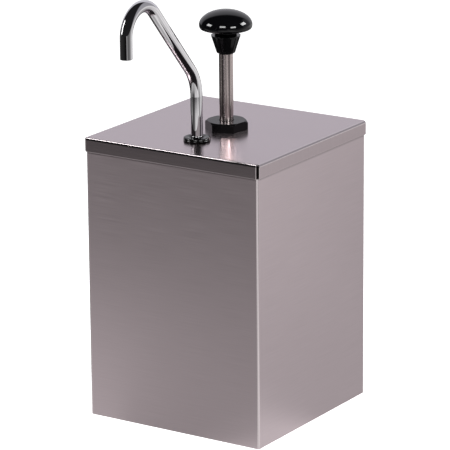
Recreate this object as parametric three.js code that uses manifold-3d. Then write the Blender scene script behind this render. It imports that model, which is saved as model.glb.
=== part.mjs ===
// Countertop condiment pump dispenser: a folded stainless box with a lift-off lid, an insert jar,
// and a plunger pump that hangs from the lid and delivers through a bent spout.
// Millimetres, +Z up. The origin is on the underside of the box, below the plunger's axis.
// The spout points along -Y.
import * as THREE from "three";
import { mergeVertices } from "three/addons/utils/BufferGeometryUtils.js";
import Module from "manifold-3d";

const wasm = await Module();
wasm.setup();

// ---- Driving dimensions -------------------------------------------------------------------

const body = { width: 181, sheet: 1, bend: 2.2, seamTab: 12, seamGap: 0.3 };
const lid = { top: 260, width: 184, skirt: 13, sheet: 1, bend: 1.6 };
const pan = { flange: 12, gap: 0.3, corner: 4 };
const jar = { bottom: 152, top: 162, height: 226, wall: 2.4, floor: 3, corner: 26, rim: 171, lip: 9 };

const shaft = { radius: 6.35, bore: 5.3, top: 343.7, bottom: 140, fit: 0.1 };
const barrel = { radius: 15, bore: 12.7, bottom: 46, flange: 18.5, neck: 12.5, guide: 8.5 };
const nut = { flats: 34, height: 8.2, turn: 21.8, chamfer: 17.4 };
const collar = { bottom: 330.3, top: 346, topRadius: 13.3, bottomRadius: 8.3, flutes: 16 };
const knob = { radius: 23.8, rim: 23, rimZ: 352.5, middleZ: 355.4, topZ: 368.9, neck: 10 };
const spout = { y: -48, radius: 5.4, wall: 0.9, bottom: 238, lean: 41.7, lowBend: 40, highBend: 23.8, reach: 106.8, tip: 355 };
const riser = { radius: 6.5, bore: 5, bottom: 61.3, top: 236 };
const ball = { inlet: 4.76, outlet: 4 };
const spring = { radius: 10.9, wire: 0.9, bottom: 46.2, top: 120.9, turns: 8, closed: 0.9 };

const lidUnder = lid.top - lid.sheet;
const bodyTop = lidUnder - 0.3;
const half = body.width / 2;
const roundSides = 24;

// ---- Finishes -----------------------------------------------------------------------------

const finish = {
  brushedSteel: { color: 0xa39c9e, roughness: 0.32, metalness: 1 },
  polishedSteel: { color: 0xc9c6c4, roughness: 0.12, metalness: 1 },
  chrome: { color: 0xd8d8da, roughness: 0.05, metalness: 1 },
  springSteel: { color: 0xb3b1ad, roughness: 0.3, metalness: 1 },
  brass: { color: 0xc2a15a, roughness: 0.3, metalness: 1 },
  blackPlastic: { color: 0x101012, roughness: 0.12, metalness: 0 },
  blackRubber: { color: 0x151515, roughness: 0.45, metalness: 0 },
  whitePlastic: { color: 0xe9e7df, roughness: 0.4, metalness: 0 },
  jarPlastic: { color: 0xe6e8e4, roughness: 0.35, metalness: 0 },
  sealRubber: { color: 0x8c3b2e, roughness: 0.5, metalness: 0 },
};

// ---- Shape helpers ------------------------------------------------------------------------

function solidOf(geometry) {
  const bare = geometry.clone();
  for (const name of ["normal", "uv"]) bare.deleteAttribute(name);
  const merged = mergeVertices(bare, 1e-4);
  return new wasm.Manifold(
    new wasm.Mesh({
      numProp: 3,
      vertProperties: merged.attributes.position.array,
      triVerts: new Uint32Array(merged.index.array),
    }),
  );
}

function geometryOf(solid) {
  const mesh = solid.getMesh();
  const geometry = new THREE.BufferGeometry();
  geometry.setAttribute("position", new THREE.BufferAttribute(new Float32Array(mesh.vertProperties), 3));
  geometry.setIndex(new THREE.BufferAttribute(new Uint32Array(mesh.triVerts), 1));
  return geometry.toNonIndexed();
}

function join(...geometries) {
  return geometryOf(geometries.map(solidOf).reduce((sum, next) => sum.add(next)));
}

function cut(geometry, ...tools) {
  return geometryOf(tools.map(solidOf).reduce((left, tool) => left.subtract(tool), solidOf(geometry)));
}

function common(a, b) {
  return geometryOf(solidOf(a).intersect(solidOf(b)));
}

// A turned piece about Z. The profile is a list of [radius, z] that runs upwards on the outside.
function turned(profile, { y = 0, sides = roundSides, closed = true } = {}) {
  const points = profile.map(([r, z]) => new THREE.Vector2(r, z));
  if (closed && profile[0][0] > 0) points.push(points[0].clone());
  const geometry = new THREE.LatheGeometry(points, sides);
  geometry.rotateX(Math.PI / 2);
  return geometry.translate(0, y, 0);
}

function rod(radius, bottom, top, options) {
  return turned([[0, bottom], [radius, bottom], [radius, top], [0, top]], { ...options, closed: false });
}

function ring(inner, outer, bottom, top, options) {
  return turned([[inner, bottom], [outer, bottom], [outer, top], [inner, top]], options);
}

// A turned piece laid along Y: z of the profile becomes -y, through the point (0, 0, height).
function turnedAlongY(geometry, height) {
  return geometry.rotateX(Math.PI / 2).translate(0, 0, height);
}

function block(x, y, z) {
  const geometry = new THREE.BoxGeometry(x[1] - x[0], y[1] - y[0], z[1] - z[0]);
  return geometry.translate((x[0] + x[1]) / 2, (y[0] + y[1]) / 2, (z[0] + z[1]) / 2);
}

function raised(shape, bottom, top, curveSegments = 4) {
  const options = { depth: top - bottom, bevelEnabled: false, curveSegments };
  return new THREE.ExtrudeGeometry(shape, options).translate(0, 0, bottom);
}

function roundedSquare(width, corner) {
  const h = width / 2;
  const c = h - corner;
  const shape = new THREE.Shape();
  shape.absarc(c, c, corner, 0, Math.PI / 2);
  shape.absarc(-c, c, corner, Math.PI / 2, Math.PI);
  shape.absarc(-c, -c, corner, Math.PI, 1.5 * Math.PI);
  shape.absarc(c, -c, corner, 1.5 * Math.PI, 2 * Math.PI);
  return shape;
}

// Scales x and y evenly with height, from 1 at the bottom to topScale at the top.
function tapered(geometry, bottom, top, topScale) {
  const position = geometry.getAttribute("position");
  for (let i = 0; i < position.count; i++) {
    const scale = 1 + ((position.getZ(i) - bottom) / (top - bottom)) * (topScale - 1);
    position.setX(i, position.getX(i) * scale);
    position.setY(i, position.getY(i) * scale);
  }
  return geometry;
}

function hexagon(flats, turn = 0) {
  const radius = flats / Math.sqrt(3);
  const corners = [0, 1, 2, 3, 4, 5].map((k) => {
    const angle = ((turn + 60 * k) * Math.PI) / 180;
    return new THREE.Vector2(radius * Math.cos(angle), radius * Math.sin(angle));
  });
  return new THREE.Shape(corners);
}

// ---- Box ----------------------------------------------------------------------------------

// One wrapped sheet. Its rear wall turns a spot-welded tab in behind the left wall at the rear left corner.
function boxWrap() {
  const { sheet, bend, seamTab, seamGap } = body;
  const inner = half - sheet;
  const inBend = bend - sheet;
  const c = half - bend;
  const tabOut = -inner + seamGap;
  const tabTurn = tabOut + bend;
  const s = new THREE.Shape();
  s.moveTo(-half, half);
  s.lineTo(-half, -c);
  s.absarc(-c, -c, bend, Math.PI, 1.5 * Math.PI);
  s.absarc(c, -c, bend, 1.5 * Math.PI, 2 * Math.PI);
  s.absarc(c, c, bend, 0, Math.PI / 2);
  s.absarc(tabTurn, c, bend, Math.PI / 2, Math.PI);
  s.lineTo(tabOut, c - seamTab);
  s.lineTo(tabOut + sheet, c - seamTab);
  s.absarc(tabTurn, c, inBend, Math.PI, Math.PI / 2, true);
  s.absarc(c, c, inBend, Math.PI / 2, 0, true);
  s.absarc(c, -c, inBend, 0, -Math.PI / 2, true);
  s.absarc(-c, -c, inBend, -Math.PI / 2, -Math.PI, true);
  s.lineTo(-inner, half);
  const relief = block([tabOut - 0.1, tabOut + sheet + 0.1], [c - seamTab - 1, c], [-1, pan.flange + 1]);
  return cut(raised(s, 0, bodyTop, 5), relief);
}

// A tray with open corners and upturned flanges that are spot welded inside the walls.
function bottomPan() {
  const edge = half - body.sheet - pan.gap;
  const flat = edge - pan.corner;
  const outline = [[edge, flat], [flat, edge], [-flat, edge], [-edge, flat]];
  const points = [...outline, ...outline.map(([x, y]) => [-x, -y])];
  const plate = raised(new THREE.Shape(points.map(([x, y]) => new THREE.Vector2(x, y))), 0, body.sheet);
  const flanges = [-1, 1].flatMap((side) => {
    const across = side > 0 ? [edge - body.sheet, edge] : [-edge, -edge + body.sheet];
    return [block(across, [-flat, flat], [0, pan.flange]), block([-flat, flat], across, [0, pan.flange])];
  });
  return join(plate, ...flanges);
}

// ---- Lid ----------------------------------------------------------------------------------

// Two crossed channels with rounded bends. Their skirts stop short of each other, so each corner is open.
function lidPanel() {
  const { top, width, skirt, sheet, bend } = lid;
  const h = width / 2;
  const channel = () => {
    const s = new THREE.Shape();
    s.moveTo(-h, top - skirt);
    s.lineTo(-h + sheet, top - skirt);
    s.lineTo(-h + sheet, top - bend);
    s.absarc(-h + bend, top - bend, bend - sheet, Math.PI, Math.PI / 2, true);
    s.absarc(h - bend, top - bend, bend - sheet, Math.PI / 2, 0, true);
    s.lineTo(h - sheet, top - skirt);
    s.lineTo(h, top - skirt);
    s.absarc(h - bend, top - bend, bend, 0, Math.PI / 2);
    s.absarc(-h + bend, top - bend, bend, Math.PI / 2, Math.PI);
    const run = 2 * (h - bend);
    return raised(s, -run / 2, run / 2, 5).rotateX(Math.PI / 2);
  };
  const neckHole = rod(barrel.neck + 0.4, lidUnder - 1, top + 1);
  const spoutHole = rod(8.3, lidUnder - 1, top + 1, { y: spout.y });
  return cut(join(channel(), channel().rotateZ(Math.PI / 2)), neckHole, spoutHole);
}

// Closed cap nut: a hexagon with its corners chamfered to a round top face.
function lockNut() {
  const { flats, height, turn, chamfer } = nut;
  const top = lid.top + height;
  const corner = flats / Math.sqrt(3);
  const hex = raised(hexagon(flats, turn), lid.top, top);
  const drop = (corner + 1 - chamfer) * 0.8;
  const cone = turned(
    [[0, lid.top - 1], [corner + 1, lid.top - 1], [corner + 1, top - drop], [chamfer, top], [0, top]],
    { closed: false, sides: 48 },
  );
  const ceiling = top - 2.5;
  const hollow = turned(
    [[0, lid.top - 1], [barrel.neck + 0.2, lid.top - 1], [barrel.neck + 0.2, ceiling], [0, ceiling]],
    { closed: false },
  );
  return cut(common(hex, cone), hollow, rod(6.9, ceiling - 1, top + 1));
}

const wiperSeal = () => ring(shaft.radius + shaft.fit, 12.2, 264, 265.7);
const lidGasket = () => ring(barrel.neck + 0.3, barrel.flange, lidUnder - 1, lidUnder);

// Rubber grommet snapped into the lid: a rounded flange above, a neck in the hole and a lip below.
function spoutGrommet() {
  const inner = spout.radius + 0.1;
  const profile = [
    [inner, 256.6], [9.6, 256.6], [10.5, 257.4], [10.5, lidUnder], [8.1, lidUnder], [8.1, lid.top],
    [11.8, lid.top], [12.1, 260.5], [11.7, 261], [11.9, 261.6], [11.9, 262.6], [11, 263.4], [8.6, 263.5],
    [6.6, 262.8], [inner, 262.2],
  ];
  return turned(profile, { y: spout.y });
}

// ---- Pump, fixed to the lid -----------------------------------------------------------------

const guideBottom = 241;

function pumpCylinder() {
  const { radius, bore, bottom, flange, neck, guide } = barrel;
  const flangeTop = lidUnder - 1;
  return turned([
    [bore, bottom], [radius, bottom], [radius, flangeTop - 6], [flange, flangeTop - 3], [flange, flangeTop],
    [neck, flangeTop], [neck, 264], [guide, 264], [guide, guideBottom], [bore, guideBottom],
  ]);
}

const guideBush = () =>
  turned([
    [shaft.radius + shaft.fit, guideBottom], [barrel.guide - 0.15, guideBottom],
    [barrel.guide - 0.15, 263.9], [shaft.radius + shaft.fit, 263.9],
  ]);

const valve = { bottom: 9, top: 60, radius: 18.5, chamber: 6.5, seat: 3.6, seatZ: 30, portZ: 38 };
const unionY = -29;

// Screwed under the barrel: castellated inlet, ball seat, chamber, and a side spigot to the elbow.
function valveBody() {
  const { bottom, top, radius, chamber, seat, seatZ, portZ } = valve;
  const shell = turned([
    [9, bottom], [13, bottom], [14, bottom + 1], [14, 21], [radius, 26], [radius, top - 1], [radius - 1, top],
    [barrel.radius + 0.2, top], [barrel.radius + 0.2, barrel.bottom], [10.3, barrel.bottom], [10.3, 42.2],
    [chamber, 42.2], [chamber, seatZ + 1.5], [seat + 0.4, seatZ], [seat, seatZ - 0.4], [seat, 20], [9, 18],
  ]);
  const spigot = turnedAlongY(rod(6.5, 15.2 + 1, -unionY), portZ);
  const port = turnedAlongY(rod(3.6, 5, 1 - unionY), portZ);
  const slots = [0, 1].map((k) => {
    const slot = block([-20, 20], [-2.5, 2.5], [bottom - 1, bottom + 6]);
    return slot.rotateZ(Math.PI / 4 + (k * Math.PI) / 2);
  });
  return cut(join(shell, spigot), port, ...slots);
}

// Holds the inlet ball in its chamber: a ring with one bar across it.
function ballRetainer() {
  const bar = block([-1.5, 1.5], [-8, 8], [42.4, 45.9]);
  return join(ring(6.5, 10.1, 42.4, 45.9), bar);
}

const barrelSeal = () => ring(15.25, 17.2, valve.top, valve.top + 1.6);
const unionSeal = () => turnedAlongY(ring(3.9, 6.3, -unionY, 1 - unionY), valve.portZ);

function unionNut() {
  const hex = raised(hexagon(19, 30), -unionY - 5, 6 - unionY);
  return turnedAlongY(cut(hex, rod(6.7, 0, 60)), valve.portZ);
}

const elbow = { bottom: 28, top: 73, radius: 10, seat: 3, seatZ: 46, pinZ: 59.2, socket: 61 };

// Turns the flow upwards past the outlet ball and holds the foot of the riser.
function dischargeElbow() {
  const { bottom, top, radius, seat, seatZ, pinZ, socket } = elbow;
  const post = turned(
    [[0, bottom], [7.5, bottom], [radius, bottom + 3], [radius, top - 1], [radius - 1, top], [0, top]],
    { y: spout.y, closed: false },
  );
  const arm = turnedAlongY(rod(6.5, 1.3 - unionY, -spout.y), valve.portZ);
  const bore = turned(
    [
      [0, valve.portZ], [seat, valve.portZ], [seat, seatZ - 0.4], [seat + 0.4, seatZ], [5.4, seatZ + 2],
      [5.4, socket], [riser.radius + 0.2, socket], [riser.radius + 0.2, top + 1], [0, top + 1],
    ],
    { y: spout.y, closed: false },
  );
  const inlet = turnedAlongY(rod(3.6, 1 - unionY, -spout.y), valve.portZ);
  const pinHole = rod(1.2, -20, 20, { sides: 12 }).rotateY(Math.PI / 2).translate(0, spout.y, pinZ);
  return cut(join(post, arm), bore, inlet, pinHole);
}

const stopPin = () => rod(1, -9.8, 9.8, { sides: 12 }).rotateY(Math.PI / 2).translate(0, spout.y, elbow.pinZ);
const riserTube = () => ring(riser.bore, riser.radius, riser.bottom, riser.top, { y: spout.y });

const seals = { low: 242, high: 247, depth: 7.4, height: 2 };

// Joins the riser to the spout, with two grooves for the seals that the spout turns in.
function spoutSocket() {
  const bore = spout.radius + 0.2;
  const groove = (z) => [[bore, z + seals.height], [seals.depth, z + seals.height], [seals.depth, z], [bore, z]];
  return turned(
    [
      [riser.radius + 0.2, 225], [9.5, 225], [9.5, 251], [8.8, 252], [bore + 0.5, 252], [bore, 251.5],
      ...groove(seals.high), ...groove(seals.low), [bore, 237.6], [4.6, 237.6], [4.6, 236.2],
      [riser.radius + 0.2, 236.2],
    ],
    { y: spout.y },
  );
}

// Round-section ring in a groove: a small circle turned about the axis.
function sealRing(inner, outer, middle, y) {
  const section = (outer - inner) / 2;
  const steps = [...Array(8).keys()].map((k) => (k * Math.PI) / 4);
  const profile = steps.map((a) => [inner + section * (1 + Math.cos(a)), middle + section * Math.sin(a)]);
  return turned(profile, { y });
}

// Figure-of-eight clip that ties the riser to the barrel.
function tubeClip() {
  const z = [146, 158];
  const big = rod(barrel.radius + 1.9, ...z);
  const small = rod(riser.radius + 1.8, ...z, { y: spout.y });
  const web = block([-2.5, 2.5], [spout.y + 5, -14], z);
  const bores = [rod(barrel.radius + 0.2, 0, 300), rod(riser.radius + 0.2, 0, 300, { y: spout.y })];
  const mouth = block([4, 30], [-2, 2], [140, 165]);
  return cut(join(big, small, web), ...bores, mouth);
}

// ---- Plunger --------------------------------------------------------------------------------

// Mushroom knob: an elliptical dome over a turned-in rim, a hollowed underside and a short neck.
function plungerKnob() {
  const { radius, rim, rimZ, middleZ, topZ, neck } = knob;
  const dome = [...Array(10).keys()].map((k) => {
    const a = (k / 10) * (Math.PI / 2);
    return [radius * Math.cos(a), middleZ + (topZ - middleZ) * Math.sin(a)];
  });
  const under = [[neck, collar.top], [neck, 349.4], [16, 350.6], [rim - 0.8, rimZ - 0.5], [rim, rimZ]];
  const outside = [[6.6, collar.top], ...under, [radius - 0.2, middleZ - 1.5], ...dome, [0, topZ]];
  return turned([...outside, [0, 358.4], [6.6, 358.4], [6.6, collar.top]], { closed: false, sides: 36 });
}

const knobInsert = () => ring(4.1, 6.4, collar.top, 358.2, { sides: 24 });

const knobStud = () =>
  turned([[0, 318], [5.1, 318], [5.1, shaft.top], [4, shaft.top], [4, 357], [0, 357]], { closed: false, sides: 24 });

// Fluted cone that the knob is tightened down on.
function knobCollar() {
  const { bottom, top, topRadius, bottomRadius, flutes } = collar;
  const count = flutes * 4;
  const points = [...Array(count).keys()].map((k) => {
    const angle = (2 * Math.PI * k) / count;
    const radius = bottomRadius - 0.42 * Math.abs(Math.cos((angle * flutes) / 2)) ** 3;
    return new THREE.Vector2(radius * Math.cos(angle), radius * Math.sin(angle));
  });
  const cone = tapered(raised(new THREE.Shape(points), bottom, top), bottom, top, topRadius / bottomRadius);
  const nose = turned(
    [[0, bottom], [6.9, bottom], [bottomRadius + 0.3, bottom + 1.3], [20, bottom + 12], [20, top], [0, top]],
    { closed: false, sides: 48 },
  );
  return cut(common(cone, nose), rod(shaft.radius + 0.15, bottom - 1, 344.2), rod(4.3, 344, top + 1));
}

const plungerTube = () => ring(shaft.bore, shaft.radius, shaft.bottom, shaft.top);
const stopBumper = () => ring(shaft.radius + 0.1, 11.2, 239, guideBottom - 0.1);
const stopCollar = () =>
  turned([[shaft.radius + 0.1, 233], [10.2, 233], [11.5, 234.3], [11.5, 239], [shaft.radius + 0.1, 239]]);

const pistonZ = { top: 137, bottom: 121 };

const pistonStud = () =>
  turned(
    [
      [0, 112], [3, 112], [3, pistonZ.top], [shaft.radius, pistonZ.top], [shaft.radius, shaft.bottom],
      [5.1, shaft.bottom], [5.1, 158], [0, 158],
    ],
    { closed: false, sides: 24 },
  );

const piston = () =>
  turned([
    [3.15, pistonZ.bottom], [11.6, pistonZ.bottom], [12.3, 121.8], [12.3, 124], [10, 124], [10, 131],
    [12.4, 131], [12.4, 136.2], [11.6, pistonZ.top], [3.15, pistonZ.top],
  ]);

// U-section cup seal whose lip faces the product below.
const pistonSeal = () =>
  turned([
    [10.15, 124.2], [10.7, 124.2], [10.9, 128.4], [11.9, 128.4], [12.2, 124.2], [12.58, 124.4],
    [12.58, 130], [12.1, 130.8], [10.15, 130.8],
  ]);

const pistonWasher = () => ring(3.2, 9, 119.8, pistonZ.bottom, { sides: 24 });
const pistonNut = () => cut(raised(hexagon(10), 114.4, 119.8), rod(3.1, 100, 130));

// Compression spring with one closed turn at each end.
class SpringPath extends THREE.Curve {
  getPoint(t) {
    const { radius, wire, bottom, top, turns, closed } = spring;
    const pitch = 2 * wire + 0.15;
    const open = top - bottom - 2 * wire - 2 * closed * pitch;
    const turn = t * turns;
    const share = THREE.MathUtils.clamp((turn - closed) / (turns - 2 * closed), 0, 1);
    const shut = Math.min(turn, closed) + Math.max(0, turn - turns + closed);
    const angle = 2 * Math.PI * turn;
    const z = bottom + wire + shut * pitch + share * open;
    return new THREE.Vector3(radius * Math.cos(angle), radius * Math.sin(angle), z);
  }
}

function returnSpring() {
  const section = new THREE.Shape().absarc(0, 0, spring.wire, 0, 2 * Math.PI);
  const options = { extrudePath: new SpringPath(), steps: spring.turns * 12, curveSegments: 3, bevelEnabled: false };
  return new THREE.ExtrudeGeometry(section, options);
}

// ---- Spout ----------------------------------------------------------------------------------

// Straight up through the lid, leaning forwards, then round a half hoop and straight down.
class SpoutPath extends THREE.Curve {
  constructor() {
    super();
    const { y, bottom, lean, lowBend, highBend, reach, tip } = spout;
    const a = (lean * Math.PI) / 180;
    const lineUp = new THREE.Vector2(-Math.sin(a), Math.cos(a));
    const tipY = y - reach;
    const highStart = new THREE.Vector2(tipY + highBend * (1 + Math.cos(a)), 0);
    const lowEnd = new THREE.Vector2(y - lowBend * (1 - Math.cos(a)), 0);
    const lowStartZ = 300;
    lowEnd.y = lowStartZ + lowBend * Math.sin(a);
    const leanLength = (lowEnd.x - highStart.x) / Math.sin(a);
    highStart.y = lowEnd.y + leanLength * Math.cos(a);
    const hoop = new THREE.Vector2(highStart.x - highBend * Math.cos(a), highStart.y - highBend * Math.sin(a));
    this.runs = [
      { length: lowStartZ - bottom, at: (s) => [y, bottom + s] },
      {
        length: lowBend * a,
        at: (s) => [y - lowBend * (1 - Math.cos(s / lowBend)), lowStartZ + lowBend * Math.sin(s / lowBend)],
      },
      { length: leanLength, at: (s) => [lowEnd.x + s * lineUp.x, lowEnd.y + s * lineUp.y] },
      {
        length: highBend * (Math.PI - a),
        at: (s) => {
          const b = a + s / highBend;
          return [hoop.x + highBend * Math.cos(b), hoop.y + highBend * Math.sin(b)];
        },
      },
      { length: hoop.y - tip, at: (s) => [tipY, hoop.y - s] },
    ];
    this.total = this.runs.reduce((sum, run) => sum + run.length, 0);
  }

  getPoint(t) {
    let s = t * this.total;
    for (const run of this.runs) {
      if (s <= run.length || run === this.runs.at(-1)) {
        const [y, z] = run.at(Math.min(s, run.length));
        return new THREE.Vector3(0, y, z);
      }
      s -= run.length;
    }
  }
}

function spoutTube() {
  const section = new THREE.Shape().absarc(0, 0, spout.radius, 0, 2 * Math.PI);
  section.holes.push(new THREE.Path().absarc(0, 0, spout.radius - spout.wall, 0, 2 * Math.PI, true));
  const options = { extrudePath: new SpoutPath(), steps: 40, curveSegments: 9, bevelEnabled: false };
  return new THREE.ExtrudeGeometry(section, options);
}

// ---- Jar ------------------------------------------------------------------------------------

// Tapered square jar with rounded corners and a rolled rim. It stands on the bottom pan.
function insertJar() {
  const { bottom, top, height, wall, floor, corner, rim, lip } = jar;
  const base = body.sheet + pan.gap;
  const scale = top / bottom;
  const outside = tapered(raised(roundedSquare(bottom, corner), base, base + height), base, base + height, scale);
  const inside = tapered(
    raised(roundedSquare(bottom - 2 * wall, corner - wall), base + floor, base + height + 1),
    base + floor,
    base + height + 1,
    (top - 2 * wall) / (bottom - 2 * wall),
  );
  const rimShape = roundedSquare(rim, corner + (rim - top) / 2);
  const flange = raised(rimShape, base + height - lip, base + height);
  const underRim = cut(
    raised(roundedSquare(rim - 2 * wall, corner + (rim - top) / 2 - wall), base, base + height - wall),
    tapered(raised(roundedSquare(bottom, corner), base - 1, base + height), base - 1, base + height, scale),
  );
  return cut(join(outside, flange), inside, underRim);
}

// ---- Assembly -------------------------------------------------------------------------------

const sphere = (radius, y, z) => new THREE.SphereGeometry(radius, 14, 8).rotateX(Math.PI / 2).translate(0, y, z);
const inletBallZ = valve.seatZ + Math.sqrt(ball.inlet ** 2 - (valve.seat + 0.4) ** 2) + 0.15;
const outletBallZ = elbow.seatZ + Math.sqrt(ball.outlet ** 2 - (elbow.seat + 0.4) ** 2) + 0.15;

const groups = {
  box: [
    ["box_wrap", boxWrap(), "brushedSteel"],
    ["bottom_pan", bottomPan(), "brushedSteel"],
  ],
  jar: [["insert_jar", insertJar(), "jarPlastic"]],
  lid: [
    ["lid_panel", lidPanel(), "brushedSteel"],
    ["lock_nut", lockNut(), "blackPlastic"],
    ["wiper_seal", wiperSeal(), "blackRubber"],
    ["lid_gasket", lidGasket(), "blackRubber"],
    ["spout_grommet", spoutGrommet(), "blackRubber"],
    ["pump_cylinder", pumpCylinder(), "whitePlastic"],
    ["guide_bush", guideBush(), "whitePlastic"],
    ["valve_body", valveBody(), "whitePlastic"],
    ["barrel_seal", barrelSeal(), "sealRubber"],
    ["ball_retainer", ballRetainer(), "whitePlastic"],
    ["union_seal", unionSeal(), "sealRubber"],
    ["union_nut", unionNut(), "whitePlastic"],
    ["discharge_elbow", dischargeElbow(), "whitePlastic"],
    ["ball_stop_pin", stopPin(), "polishedSteel"],
    ["riser_tube", riserTube(), "polishedSteel"],
    ["spout_socket", spoutSocket(), "whitePlastic"],
    ["spout_seal_upper", sealRing(spout.radius + 0.05, 7.2, seals.high + 1, spout.y), "sealRubber"],
    ["spout_seal_lower", sealRing(spout.radius + 0.05, 7.2, seals.low + 1, spout.y), "sealRubber"],
    ["tube_clip", tubeClip(), "whitePlastic"],
    ["return_spring", returnSpring(), "springSteel"],
  ],
  pistonSeal: [["piston_seal", pistonSeal(), "sealRubber"]],
  plunger: [
    ["plunger_knob", plungerKnob(), "blackPlastic"],
    ["knob_insert", knobInsert(), "brass"],
    ["knob_stud", knobStud(), "polishedSteel"],
    ["knob_collar", knobCollar(), "blackPlastic"],
    ["plunger_tube", plungerTube(), "polishedSteel"],
    ["stop_bumper", stopBumper(), "blackRubber"],
    ["stop_collar", stopCollar(), "polishedSteel"],
    ["piston_stud", pistonStud(), "polishedSteel"],
    ["piston", piston(), "whitePlastic"],
    ["piston_washer", pistonWasher(), "polishedSteel"],
    ["piston_nut", pistonNut(), "polishedSteel"],
  ],
  spout: [["spout_tube", spoutTube(), "chrome"]],
  inletValve: [["inlet_ball", sphere(ball.inlet, 0, inletBallZ), "polishedSteel"]],
  outletValve: [["outlet_ball", sphere(ball.outlet, spout.y, outletBallZ), "polishedSteel"]],
};

const dispenser = new THREE.Group();
for (const [groupName, pieces] of Object.entries(groups)) {
  const group = new THREE.Group();
  group.name = groupName;
  for (const [name, geometry, material] of pieces) {
    const mesh = new THREE.Mesh(geometry, new THREE.MeshStandardMaterial(finish[material]));
    mesh.name = name;
    group.add(mesh);
  }
  dispenser.add(group);
}

export default dispenser;
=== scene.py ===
from math import cos, pi, radians, sin, sqrt

import bmesh
import bpy
from mathutils import Matrix, Vector


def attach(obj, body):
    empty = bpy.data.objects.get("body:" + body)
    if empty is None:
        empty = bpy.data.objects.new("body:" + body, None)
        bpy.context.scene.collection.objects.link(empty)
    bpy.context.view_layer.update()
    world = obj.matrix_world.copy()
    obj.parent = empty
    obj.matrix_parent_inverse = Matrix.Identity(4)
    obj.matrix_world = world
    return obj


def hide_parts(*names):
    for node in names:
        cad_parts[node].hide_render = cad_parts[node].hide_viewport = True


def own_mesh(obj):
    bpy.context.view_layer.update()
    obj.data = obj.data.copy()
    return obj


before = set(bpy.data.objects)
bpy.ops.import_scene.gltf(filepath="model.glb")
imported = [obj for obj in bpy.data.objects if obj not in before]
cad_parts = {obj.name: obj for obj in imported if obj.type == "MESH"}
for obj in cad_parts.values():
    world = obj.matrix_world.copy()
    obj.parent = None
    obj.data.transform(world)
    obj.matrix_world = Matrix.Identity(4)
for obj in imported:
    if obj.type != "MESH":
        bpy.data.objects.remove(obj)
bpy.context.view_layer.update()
mm = 0.001           # sizes below are in mm unless a note says otherwise
hair = 0.01 * mm     # places closer than this count as one
print("frame loaded,", len(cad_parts), "nodes")


# working by hand: selection, edit mode and modifiers

def deselectAll():
    if bpy.context.object and bpy.context.object.mode != "OBJECT":
        bpy.ops.object.mode_set(mode="OBJECT")
    bpy.ops.object.select_all(action="DESELECT")


def makeActive(piece):
    deselectAll()
    piece.select_set(True)
    bpy.context.view_layer.objects.active = piece


def startEdit(piece):
    makeActive(piece)
    bpy.ops.object.mode_set(mode="EDIT")
    bpy.ops.mesh.select_mode(type="VERT")


def endEdit():
    bpy.ops.object.mode_set(mode="OBJECT")


def pick(piece, kind, wanted):
    # selects what wanted(place, direction) says yes to: an edge's direction runs along it
    bpy.ops.mesh.select_mode(type=kind)
    bpy.ops.mesh.select_all(action="DESELECT")
    mesh = bmesh.from_edit_mesh(piece.data)
    if kind == "VERT":
        found = [v for v in mesh.verts if wanted(v.co, v.normal)]
    elif kind == "EDGE":
        ends = [(e, e.verts[0].co, e.verts[1].co) for e in mesh.edges]
        found = [e for e, a, b in ends if wanted((a + b) / 2, (b - a).normalized())]
    else:
        found = [f for f in mesh.faces if wanted(f.calc_center_median(), f.normal)]
    for item in found:
        item.select_set(True)
    mesh.select_flush_mode()
    bmesh.update_edit_mesh(piece.data)


def extrudeBy(x, y, z):
    bpy.ops.mesh.extrude_region_move(TRANSFORM_OT_translate={"value": (x * mm, y * mm, z * mm)})


def modify(piece, kind, **settings):
    makeActive(piece)
    modifier = piece.modifiers.new(kind.title(), kind)
    for name, value in settings.items():
        setattr(modifier, name, value)
    bpy.ops.object.modifier_apply(modifier=modifier.name)


def softenEdges(piece, width, segments=2, angle=30):
    modify(piece, "BEVEL", width=width * mm, segments=segments, limit_method="ANGLE",
           angle_limit=radians(angle), use_clamp_overlap=True, miter_outer="MITER_ARC")


def shade(piece, angle=35, weighted=True):
    makeActive(piece)
    bpy.ops.object.shade_smooth_by_angle(angle=radians(angle))
    if weighted:
        modify(piece, "WEIGHTED_NORMAL", weight=50, keep_sharp=True)


def turned(name, profile, steps=64, y=0):
    # a turned piece: a point is drawn out along the profile, in mm as (radius, height), and spun
    deselectAll()
    bpy.ops.mesh.primitive_plane_add(size=1 * mm)
    piece = bpy.context.object
    piece.name = name
    startEdit(piece)
    bpy.ops.mesh.select_all(action="SELECT")
    bpy.ops.mesh.merge(type="CENTER")
    radius, height = profile[0]
    bpy.ops.transform.translate(value=(radius * mm, y * mm, height * mm))
    for (r0, z0), (r1, z1) in zip(profile, profile[1:]):
        move = {"value": ((r1 - r0) * mm, 0, (z1 - z0) * mm)}
        bpy.ops.mesh.extrude_vertices_move(TRANSFORM_OT_translate=move)
    bpy.ops.mesh.select_all(action="SELECT")
    bpy.ops.mesh.spin(steps=steps, angle=2 * pi, center=(0, y * mm, 0), axis=(0, 0, 1))
    bpy.ops.mesh.select_all(action="SELECT")
    bpy.ops.mesh.remove_doubles(threshold=0.002 * mm)
    bpy.ops.mesh.normals_make_consistent(inside=False)
    endEdit()
    return piece


def cutRound(piece, radius, low, high, y=0):
    # drills a round hole
    deselectAll()
    bpy.ops.mesh.primitive_cylinder_add(vertices=96, radius=radius * mm, depth=(high - low) * mm,
                                        location=(0, y * mm, (low + high) / 2 * mm))
    drill = bpy.context.object
    modify(piece, "BOOLEAN", object=drill, operation="DIFFERENCE", solver="EXACT")
    bpy.data.objects.remove(drill)


def place(piece, body, slotName, material, *nodes):
    makeActive(piece)
    bpy.ops.object.transform_apply(location=True, rotation=True, scale=True)
    if material:
        piece.data.materials.clear()
        piece.data.materials.append(material)
    if nodes:
        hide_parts(*nodes)
    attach(piece, body)


# materials

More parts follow.
